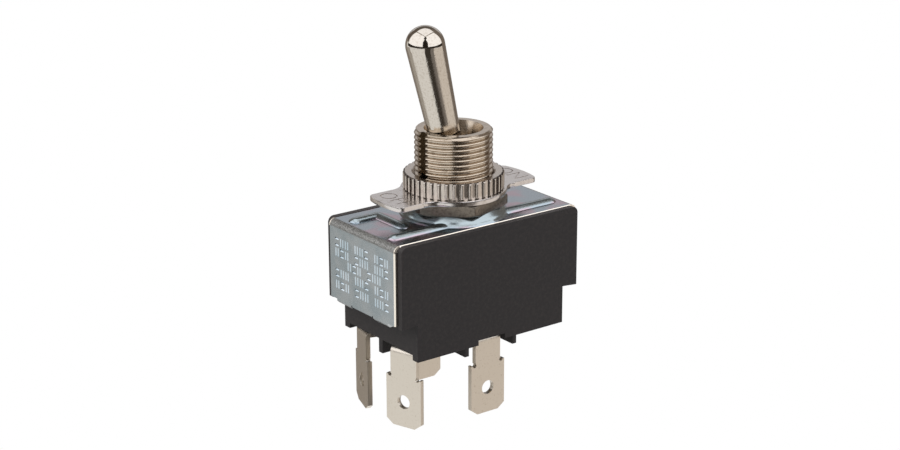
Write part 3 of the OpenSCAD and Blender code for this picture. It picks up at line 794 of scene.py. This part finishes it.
@dataclass
class Case:
    """The moulded housing and the steel frame that is crimped over it."""

    nodes: dict[str, bpy.types.Object]
    mould_edge: float = 0.18
    sheet_edge: float = 0.2
    sheet_z: float = -3.2
    sheet_y: float = 8.45
    sheet_bend: float = 1.0
    end_x: float = 17.15
    end_z: float = -17.2
    tool_reach: float = 0.4
    shade_angle: float = 24.0
    stamp_depth: float = 0.09
    stamp_h: float = 1.3
    stamp_w: float = 0.9
    stamp_stroke: float = 0.3
    stamp_pitch: float = 1.28
    row_z: tuple[float, ...] = (-6.3, -7.95, -9.5, -11.2, -13.1)
    row_marks: tuple[int, ...] = (11, 11, 8, 11, 11)
    gap_every: int = 4
    level_every: int = 3

    def build(self) -> None:
        """Builds the housing and the frame."""
        self.build_housing()
        self.build_frame()

    def build_housing(self) -> None:
        """Copies the moulding and rounds its edges."""
        piece = copy_of(self.nodes["housing"], "Housing")
        soften(piece, self.mould_edge)
        smooth(piece)
        fit(piece, "case", PHENOLIC, "housing")

    def build_frame(self) -> None:
        """Copies the frame, rounds its sheared edges and stamps rows of marks in its end."""
        piece = copy_of(self.nodes["steel_frame"], "Steel_frame")
        for tool in self.edge_tools():
            carve(piece, tool)
        carve(piece, self.stamped_rows())
        smooth(piece, self.shade_angle)
        fit(piece, "case", ZINC, "steel_frame")

    def edge_tools(self) -> list[bpy.types.Object]:
        """Makes the tools that break the sheet's long edges, along its top and down its ends."""
        cut, over = self.sheet_edge, self.tool_reach
        flat_x, low_z = self.end_x - self.sheet_bend, self.sheet_z - self.sheet_bend
        corner = ((-cut - over, over), (over, over), (over, -cut - over))
        tools = []
        for side in (-1, 1):
            across = [(side * (self.sheet_y + a), self.sheet_z + b) for a, b in corner]
            tools.append(prism("top_edge", Axis.X, across, -flat_x, flat_x))
            for end in (-1, 1):
                outline = [(end * (self.end_x + b), side * (self.sheet_y + a)) for a, b in corner]
                tools.append(prism("end_edge", Axis.Z, outline, self.end_z, low_z))
        return tools

    def stamped_rows(self) -> bpy.types.Object:
        """Draws the rows of plain strokes that are stamped in the frame's end.

        Returns:
            One cutter that holds all the strokes.
        """
        strokes = []
        for row, (z, count) in enumerate(zip(self.row_z, self.row_marks)):
            for i in range(count):
                if i % self.gap_every == self.gap_every - 1:
                    continue
                y = (i - (count - 1) / 2) * self.stamp_pitch
                strokes += self.mark(y, z, upright=(i + row) % self.level_every != 1)
        return join(strokes)

    def mark(self, y: float, z: float, upright: bool) -> list[bpy.types.Object]:
        """Draws one mark: two parallel V-shaped grooves.

        Args:
            y: The mark's middle across the case, in millimetres.
            z: The mark's middle in height, in millimetres.
            upright: Whether the grooves stand upright or lie level.

        Returns:
            The two cutters.
        """
        half = self.stamp_stroke / 2
        sides = (-1, 1)
        if upright:
            out = self.stamp_w / 2 - half
            return [self.groove(Axis.Z, y + side * out, z, self.stamp_h / 2) for side in sides]
        out = self.stamp_h / 2 - half
        return [self.groove(Axis.Y, z + side * out, y, self.stamp_w / 2) for side in sides]

    def groove(self, axis: Axis, across: float, middle: float, reach: float) -> bpy.types.Object:
        """Makes the cutter of one V-shaped groove in the frame's end.

        Args:
            axis: The axis that the groove runs along.
            across: Its place across that axis, in millimetres.
            middle: Its middle along that axis.
            reach: Half its length.

        Returns:
            The cutter.
        """
        skin, bottom = -self.end_x - self.stamp_depth, -self.end_x + self.stamp_depth
        outline = [
            (skin, across - self.stamp_stroke), (bottom, across), (skin, across + self.stamp_stroke)
        ]
        return prism("groove", axis, outline, middle - reach, middle + reach)


@dataclass
class ThreadedBushing:
    """The bushing: a 15/32-32 thread with a flange below, a keyway and the lever's mouth."""

    thread_r: float = 5.95
    pitch: float = 0.79375
    thread_depth: float = 0.42
    top: float = 10.0
    seat: float = -2.9
    foot: float = -4.2
    flange_r: float = 6.7
    chamfer: float = 0.35
    mouth_r: float = 4.512
    throat_r: float = 3.247
    throat_w: float = 3.7
    throat_low: float = -0.15
    throat_high: float = 4.85
    tail_r: float = 3.7
    key_w: float = 1.7
    key_depth: float = 0.9
    pivot_z: float = 2.35
    pin_r: float = 0.82
    start_turns: float = 2.5
    foot_overlap: float = 0.6
    blank_overlap: float = 0.5
    end_overlap: float = 0.4
    throat_overlap: float = 0.2
    shade_angle: float = 38.0
    steps: int = 96
    tooth: tuple[tuple[float, float], ...] = (
        (0.0, 0.0), (0.14, 0.04), (0.3, 0.55), (0.4, 0.9), (0.5, 1.0), (0.6, 0.9),
        (0.7, 0.55), (0.86, 0.04), (1.0, 0.0),
    )

    def build(self) -> None:
        """Builds the bushing."""
        piece = self.thread()
        carve(piece, self.envelope(), Cut.KEEP_COMMON)
        carve(piece, self.flange(), Cut.JOIN)
        for tool in self.openings():
            carve(piece, tool)
        smooth(piece, self.shade_angle)
        fit(piece, "case", BUSHING_NICKEL, "bushing")

    def thread(self) -> bpy.types.Object:
        """Winds one tooth of the thread up the bushing and closes both ends.

        Returns:
            The solid threaded rod.
        """
        root = self.thread_r - self.thread_depth
        start = self.seat - self.start_turns * self.pitch
        profile = [
            Vector(((root + self.thread_depth * h) * MM, 0, (start + self.pitch * z) * MM))
            for z, h in self.tooth
        ]
        piece = trace("Threaded_bushing", profile)
        turns = math.ceil((self.top - start) / self.pitch) + 2
        apply_modifier(
            piece, "SCREW", axis="Z", angle=math.tau, screw_offset=self.pitch * MM,
            iterations=turns, steps=self.steps, render_steps=self.steps,
            use_merge_vertices=True, merge_threshold=WELD,
        )
        ends = ((self.seat - self.foot_overlap, True), (self.top + self.end_overlap, False))
        for z, keep_above in ends:
            with editing(piece):
                bpy.ops.mesh.bisect(
                    plane_co=(0, 0, z * MM), plane_no=(0, 0, 1), use_fill=True,
                    clear_inner=keep_above, clear_outer=not keep_above, threshold=1e-7,
                )
        with editing(piece):
            bpy.ops.mesh.remove_doubles(threshold=WELD)
            bpy.ops.mesh.normals_make_consistent(inside=False)
        return piece

    def envelope(self) -> bpy.types.Object:
        """Makes the plain round blank that the thread was cut in, chamfered at its top.

        Returns:
            The blank.
        """
        r, low = self.thread_r + 0.02, self.seat - self.blank_overlap
        return lathe(
            "blank",
            [(0, low), (r, low), (r, self.top - self.chamfer), (r - self.chamfer, self.top),
             (0, self.top)],
            self.steps,
        )

    def flange(self) -> bpy.types.Object:
        """Makes the flange that holds the bushing under the frame."""
        r = self.flange_r
        return lathe("flange", [(0, self.foot), (r, self.foot), (r, self.seat), (0, self.seat)])

    def openings(self) -> list[bpy.types.Object]:
        """Makes the tools for the mouth, the throat, the tail, the keyway and the pin hole."""
        over = self.top + REACH
        mouth = [(0, self.throat_high), (self.throat_r, self.throat_high),
                 (self.mouth_r, self.top), (self.mouth_r, over), (0, over)]
        under = self.foot - REACH
        tail = [(0, under), (self.tail_r, under), (self.tail_r, self.foot),
                (self.throat_r, self.throat_low), (0, self.throat_low)]
        half_w = self.throat_w / 2
        return [
            lathe("mouth", mouth),
            lathe("tail", tail),
            box("throat", (-self.throat_r, -half_w, self.throat_low - self.throat_overlap),
                (self.throat_r, half_w, self.throat_high + self.throat_overlap)),
            box("keyway", (-self.thread_r - REACH, -self.key_w / 2, self.seat),
                (-self.thread_r + self.key_depth, self.key_w / 2, over)),
            rod("pin_hole", Axis.Y, self.pin_r, -self.thread_r - REACH,
                self.thread_r + REACH, 0.0, self.pivot_z),
        ]


@dataclass
class PanelHardware:
    """The hex nut behind the panel, and the marker plate and knurled nut on its face."""

    nodes: dict[str, bpy.types.Object]
    plate_top: float = 0.8
    letter_h: float = 3.9
    letter_depth: float = 0.12
    letter_r: float = 10.9
    letter_thin: float = 0.02
    hex_edge: float = 0.12
    plate_edge: float = 0.1
    plate_bend: float = 50.0
    rib_edge: float = 0.06
    words: dict[str, int] = field(default_factory=lambda: {"ON": 1, "OFF": -1})

    def build(self) -> None:
        """Builds the two nuts and the plate."""
        nut = copy_of(self.nodes["hex_nut"], "Hex_nut")
        soften(nut, self.hex_edge)
        smooth(nut)
        fit(nut, "case", DULL_NICKEL, "hex_nut")
        plate = copy_of(self.nodes["on_off_plate"], "Marker_plate")
        soften(plate, self.plate_edge, self.plate_bend)
        for word, side in self.words.items():
            carve(plate, self.letters(word, side))
        smooth(plate)
        fit(plate, "marker_plate", PLATE_NICKEL, "on_off_plate")
        ring = copy_of(self.nodes["knurled_nut"], "Knurled_nut")
        soften(ring, self.rib_edge)
        smooth(ring)
        fit(ring, "knurled_nut", NUT_NICKEL, "knurled_nut")

    def letters(self, word: str, side: int) -> bpy.types.Object:
        """Makes the tool that stamps a word in one wing of the plate.

        Args:
            word: The word.
            side: 1 for the wing at +X and -1 for the one at -X.

        Returns:
            The tool.
        """
        bpy.ops.object.select_all(action="DESELECT")
        bpy.ops.object.text_add()
        piece = bpy.context.object
        piece.data.body = word
        piece.data.align_x = "CENTER"
        piece.data.align_y = "CENTER"
        piece.data.size = self.letter_h * MM
        piece.data.offset = -self.letter_thin * self.letter_h * MM
        piece.data.extrude = self.letter_depth * MM
        piece.data.resolution_u = 6
        focus(piece)
        bpy.ops.object.convert(target="MESH")
        piece = bpy.context.object
        with editing(piece):
            bpy.ops.mesh.remove_doubles(threshold=1e-7)
        place = Matrix.Translation((side * self.letter_r * MM, 0, self.plate_top * MM))
        settle(piece, place @ Matrix.Rotation(-math.pi / 2, 4, "Z"))
        return piece


@dataclass
class BatLever:
    """The lever: a tapered bat with a round tip, a flattened neck and a round stem."""

    tip: float = 24.6
    tip_r: float = 2.95
    bat_r: float = 2.46
    shoulder: float = 7.7
    neck_w: float = 3.5
    runout_r: float = 0.7
    throat: float = 2.5
    stem_r: float = 1.6
    stem_end: float = -12.0
    pin_r: float = 0.84
    pivot_z: float = 2.35
    throw: float = 13.8
    stem_chamfer: float = 0.3
    shade_angle: float = 30.0
    dome_steps: int = 40
    steps: int = 128

    def build(self) -> None:
        """Turns the lever, cuts the neck's flats and the pin hole, and tilts it to rest."""
        piece = lathe("Bat_lever", self.profile(), self.steps)
        for side in (-1, 1):
            carve(piece, self.flat_tool(side))
        far = 2 * self.bat_r
        carve(piece, rod("hole", Axis.Y, self.pin_r, -far, far))
        tilt = Matrix.Rotation(math.radians(-self.throw), 4, "Y")
        settle(piece, Matrix.Translation((0, 0, self.pivot_z * MM)) @ tilt)
        smooth(piece, self.shade_angle)
        fit(piece, "lever", BRIGHT_NICKEL, "lever")

    def profile(self) -> list[tuple[float, float]]:
        """Gives the lever's outline from the stem's end to the tip."""
        centre = self.tip - self.tip_r
        slope = math.atan((self.tip_r - self.bat_r) / (centre - self.shoulder))
        stem = [
            (0, self.stem_end), (self.stem_r - self.stem_chamfer, self.stem_end),
            (self.stem_r, self.stem_end + self.stem_chamfer), (self.stem_r, -self.throat - 1),
            (self.bat_r, -self.throat), (self.bat_r, self.shoulder),
        ]
        dome = [
            (self.tip_r * math.cos(a), centre + self.tip_r * math.sin(a))
            for a in (
                -slope + (math.pi / 2 + slope) * i / self.dome_steps
                for i in range(self.dome_steps)
            )
        ]
        return stem + dome + [(0, self.tip)]

    def flat_tool(self, side: int) -> bpy.types.Object:
        """Makes the tool for one flat of the neck, which runs out in a hollow at the shoulder.

        Args:
            side: 1 for the flat at +Y and -1 for the one at -Y.

        Returns:
            The tool.
        """
        half, r, wide = self.neck_w / 2, self.runout_r, 2 * self.bat_r
        arc = [
            (half + r - r * math.cos(a), self.shoulder - r + r * math.sin(a))
            for a in (math.pi / 2 * i / 10 for i in range(11))
        ]
        outline = [(half, -self.throat - REACH), *arc, (half + wide, self.shoulder),
                   (half + wide, -self.throat - REACH)]
        return prism("flat", Axis.X, [(side * y, z) for y, z in outline], -wide, wide)


@dataclass
class BladeTerminals:
    """The four tabs and the rivets that hold them under the case."""

    nodes: dict[str, bpy.types.Object]
    tab_edge: float = 0.07
    head_edge: float = 0.05

    def build(self) -> None:
        """Copies the tabs and the rivets and rounds their edges."""
        for place in ("common_terminal", "line_terminal"):
            for side in ("near", "far"):
                self.copy_node(f"{place}_{side}", self.tab_edge, TINNED_BRASS)
        for side in ("near", "far"):
            self.copy_node(f"fulcrum_rivet_{side}", self.head_edge, BRASS)
            self.copy_node(f"contact_rivet_{side}", self.head_edge, SILVER_CONTACT)

    def copy_node(self, node: str, edge: float, finish: Finish) -> None:
        """Copies one node, rounds its edges by edge millimetres and finishes it."""
        piece = copy_of(self.nodes[node], node.capitalize())
        soften(piece, edge)
        smooth(piece)
        fit(piece, "case", finish, node)


@dataclass
class Mechanism:
    """The moving parts inside the case, which keep the shapes of the CAD nodes.

    The two plunger springs are copies of their CAD nodes.
    """

    nodes: dict[str, bpy.types.Object]
    spring_y: float = 4.1
    spring_top: tuple[float, float] = (2.25, -6.81)
    spring_foot: tuple[float, float] = (3.43, -11.6)
    coil_shade: float = 40.0
    finishes: dict[str, Finish] = field(
        default_factory=lambda: {
            "pivot_pin": STEEL_PIN,
            "crossbar": NYLON,
            "plunger": BRASS,
            "rocker": COPPER,
            "moving_contact": SILVER_CONTACT,
            "fulcrum_bracket": BRASS,
        }
    )

    def build(self) -> None:
        """Gives each inner node its finish."""
        for name, finish in self.finishes.items():
            for node in (name, f"{name}_near", f"{name}_far"):
                if node in self.nodes:
                    paint(self.nodes[node], finish)
                    LOG.info("%s: %s", node, finish.name)
        for side, y in (("near", -self.spring_y), ("far", self.spring_y)):
            self.build_spring(side)

    def build_spring(self, side: str) -> None:
        """Copies one spring, which stands on its plunger and bears on the crossbar.

        Args:
            side: The plunger's side, near or far.
        """
        node = f"plunger_spring_{side}"
        piece = copy_of(self.nodes[node], node.capitalize())
        smooth(piece, self.coil_shade)
        paint(piece, SPRING_STEEL)
        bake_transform(piece)
        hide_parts(node)
        LOG.info("%s: %d faces, shortens with the plunger", piece.name, len(piece.data.polygons))


# ---- Studio ----


@dataclass(frozen=True)
class Card:
    """A flat card in the studio, by the directions of its corners as seen from the object.

    Each corner is degrees to the right of the camera and degrees above the horizon.
    """

    name: str
    corners: tuple[tuple[float, float], ...]
    colour: str
    strength: float = 1.0
    distance: float = 0.5


def twins(name: str, corners: tuple[tuple[float, float], ...], colour: str,
          strength: float = 1.0, distance: float = 0.5) -> tuple[Card, Card]:
    """Makes a card to the right of the camera and its mirror image to the left."""
    mirrored = tuple((-turn, rise) for turn, rise in reversed(corners))
    return (
        Card(f"{name}_right", corners, colour, strength, distance),
        Card(f"{name}_left", mirrored, colour, strength, distance),
    )


SCREEN = "F8F8FC"
CARDS: tuple[Card, ...] = (
    *twins("Screen_front", ((14, 5), (62, 5), (65, 68), (2, 61)), SCREEN, 1.6, 0.62),
    *twins("Screen_side", ((62, 5), (109, 5), (120, 50), (65, 68)), SCREEN, 1.6, 0.62),
    Card("Screen_top", ((-134, 48), (-119, 53), (-65, 70), (0, 63), (65, 70), (119, 53), (134, 48),
                        (180, 56)), SCREEN, 1.5, 0.62),
    *twins("Seam_top", ((0, 61), (0, 64), (65, 71), (121, 55), (119, 51), (65, 67.5)), "8A7C6C"),
    *twins("Horizon", ((0, -4), (58, -4), (58, 5), (0, 5)), "3A332E"),
    *twins("Horizon_side", ((58, -4), (116, -4), (116, 5), (58, 5)), "3A332E"),
    Card("Camera_gap", ((-15, 4), (17, 4), (16, 30), (5, 46), (15, 55), (2, 64), (-13, 55),
                        (-5, 46), (-15, 30)), "2C2622", 1.0, 0.45),
    Card("Table_gap", ((-3, -4), (30, -4), (32, -60), (-3, -60)), "45403B", 1.0, 0.45),
    Card("Table_gap_soft", ((30, -4), (50, -4), (52, -60), (32, -60)), "8A8480", 1.0, 0.45),
    Card("Table_right", ((50, -4), (114, -4), (114, -60), (52, -60)), "F0E8E1", 1.0, 0.46),
    Card("Table_left", ((-97, -4), (-126, -4), (-126, -60), (-90, -60)), "BCB7B1", 1.0, 0.2),
    Card("Back_side_right", ((114, -42), (150, -38), (150, 56), (114, 50)), "847A72"),
    Card("Back_low_left", ((-126, -42), (-150, -38), (-150, 6), (-126, 6)), "9A928A"),
    Card("Back_high_left", ((-114, 6), (-150, 6), (-150, 56), (-121, 50)), "6E645C"),
    *twins("Back_low", ((150, -38), (180, -38), (180, 9), (150, 9)), "857C74"),
    *twins("Back_band", ((150, 9), (180, 9), (180, 27), (150, 27)), "D4D2D4"),
    *twins("Back_high", ((150, 27), (180, 27), (180, 56), (150, 56)), "6E6862"),
)


@dataclass
class Studio:
    """A plain pale studio: a white surround, soft lamps, dark cards and the camera."""

    azimuth: float = -36.891
    elevation: float = 18.446
    roll: float = -0.135
    distance: float = 311.7
    target: tuple[float, float, float] = (-0.705, 0.0, -5.31)
    lens: float = 81.89
    floor_z: float = -33.4
    surround_light: float = 0.55
    floor_light: float = 0.5
    lamp_distance: float = 0.6
    lamp_colour: str = "FFF6EA"

    def build(self) -> None:
        """Sets the surround, the floor, the lamps, the cards and the camera."""
        bpy.context.scene.view_settings.view_transform = "Standard"
        self.surround()
        self.floor()
        self.lamps()
        self.cards()
        self.camera()

    def towards(self, turn: float, elevation: float) -> Vector:
        """Gives a direction from the object.

        Args:
            turn: Degrees to the right of the camera, seen from the camera.
            elevation: Degrees above the horizon.

        Returns:
            The unit vector.
        """
        a, e = math.radians(self.azimuth + turn), math.radians(elevation)
        return Vector((math.sin(a) * math.cos(e), -math.cos(a) * math.cos(e), math.sin(e)))

    def seen_as(
        self, tree: bpy.types.NodeTree, shown: float, lit: float
    ) -> bpy.types.NodeSocket:
        """Gives one strength to what the camera, metal and glass see and another to the rest.

        Args:
            tree: The node tree.
            shown: Strength as seen directly or in a reflection.
            lit: Strength that lights rough surfaces.

        Returns:
            The strength's socket.
        """
        path = add_node(tree, "ShaderNodeLightPath")
        glossy = add_node(
            tree, "ShaderNodeMath", {"operation": "MAXIMUM"},
            links={0: path.outputs["Is Camera Ray"], 1: path.outputs["Is Glossy Ray"]},
        )
        seen = add_node(
            tree, "ShaderNodeMath", {"operation": "MAXIMUM"},
            links={0: glossy.outputs[0], 1: path.outputs["Is Transmission Ray"]},
        )
        return spread(tree, seen.outputs[0], 0.0, 1.0, lit, shown)

    def surround(self) -> None:
        """Makes the white surround."""
        world = bpy.data.worlds.new("White_surround")
        world.use_nodes = True
        tree = world.node_tree
        tree.nodes.clear()
        glow = add_node(
            tree, "ShaderNodeBackground", values={"Color": linear("FFFFFF")},
            links={"Strength": self.seen_as(tree, 1.0, self.surround_light)},
        )
        add_node(tree, "ShaderNodeOutputWorld", links={"Surface": glow.outputs[0]})
        bpy.context.scene.world = world

    def light_up(
        self, piece: bpy.types.Object, name: str, colour: str, strength: float
    ) -> tuple[bpy.types.NodeTree, bpy.types.Node]:
        """Makes a stage piece glow.

        Args:
            piece: The piece, which becomes part of the stage.
            name: Name of its material.
            colour: The glow's colour.
            strength: The glow's strength.

        Returns:
            The material's node tree and the glow's node.
        """
        material = bpy.data.materials.new(name)
        material.use_nodes = True
        tree = material.node_tree
        tree.nodes.clear()
        glow = add_node(
            tree, "ShaderNodeEmission", values={"Color": linear(colour), "Strength": strength}
        )
        add_node(tree, "ShaderNodeOutputMaterial", links={"Surface": glow.outputs[0]})
        piece.data.materials.append(material)
        return tree, glow

    def floor(self) -> None:
        """Makes the pale floor."""
        bpy.ops.object.select_all(action="DESELECT")
        bpy.ops.mesh.primitive_plane_add(size=4.0, location=(0, 0, self.floor_z * MM))
        piece = bpy.context.object
        piece.name = "Floor"
        tree, glow = self.light_up(piece, "White_floor", "FFFFFF", 1.0)
        tree.links.new(self.seen_as(tree, 1.0, self.floor_light), glow.inputs["Strength"])
        piece.visible_glossy = False

    def lamps(self) -> None:
        """Hangs the soft lamps: above, to the left and to the right."""
        for name, turn, elevation, size, power in (
            ("Top", -20.0, 78.0, 0.45, 4.0),
            ("Left", -62.0, 34.0, 0.4, 3.0),
            ("Right", 85.0, 30.0, 0.4, 2.2),
        ):
            lamp = bpy.data.lights.new(name, "AREA")
            lamp.shape = "SQUARE"
            lamp.size = size
            lamp.energy = power
            lamp.color = linear(self.lamp_colour)[:3]
            holder = bpy.data.objects.new(name, lamp)
            bpy.context.scene.collection.objects.link(holder)
            towards = self.towards(turn, elevation)
            holder.location = towards * self.lamp_distance
            holder.rotation_euler = towards.to_track_quat("Z", "Y").to_euler()
            holder.visible_glossy = False

    def cards(self) -> None:
        """Hangs the cards that metal mirrors: pale screens, and dark cards and gaps between them."""
        for card in CARDS:
            piece = trace(
                card.name, [self.towards(turn, rise) * card.distance for turn, rise in card.corners]
            )
            with editing(piece):
                bpy.ops.mesh.edge_face_add()
            self.light_up(piece, card.name, card.colour, card.strength)
            piece.visible_camera = False
            piece.visible_diffuse = False
            piece.visible_shadow = False

    def camera(self) -> None:
        """Places the camera."""
        back = self.towards(0.0, self.elevation)
        right = Vector((0, 0, 1)).cross(back).normalized()
        up = back.cross(right)
        turn = math.radians(self.roll)
        side = right * math.cos(turn) + up * math.sin(turn)
        top = up * math.cos(turn) - right * math.sin(turn)
        place = (Vector(self.target) + back * self.distance) * MM
        data = bpy.data.cameras.new("Camera")
        data.lens = self.lens
        data.sensor_width = 36.0
        data.clip_start = 0.01
        holder = bpy.data.objects.new("Camera", data)
        bpy.context.scene.collection.objects.link(holder)
        matrix = Matrix((side, top, back)).transposed().to_4x4()
        matrix.translation = place
        holder.matrix_world = matrix
        bpy.context.scene.camera = holder


def main() -> None:
    """Builds the switch piece by piece around its frame."""
    logging.basicConfig(level=logging.INFO, format="%(name)s %(message)s")
    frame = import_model()
    nodes = frame["nodes"]
    steps: tuple[Callable[[], None], ...] = (
        Case(nodes).build,
        ThreadedBushing().build,
        PanelHardware(nodes).build,
        BatLever().build,
        BladeTerminals(nodes).build,
        Mechanism(nodes).build,
        Studio().build,
    )
    for step in steps:
        step()


if __name__ == "__main__":
    main()
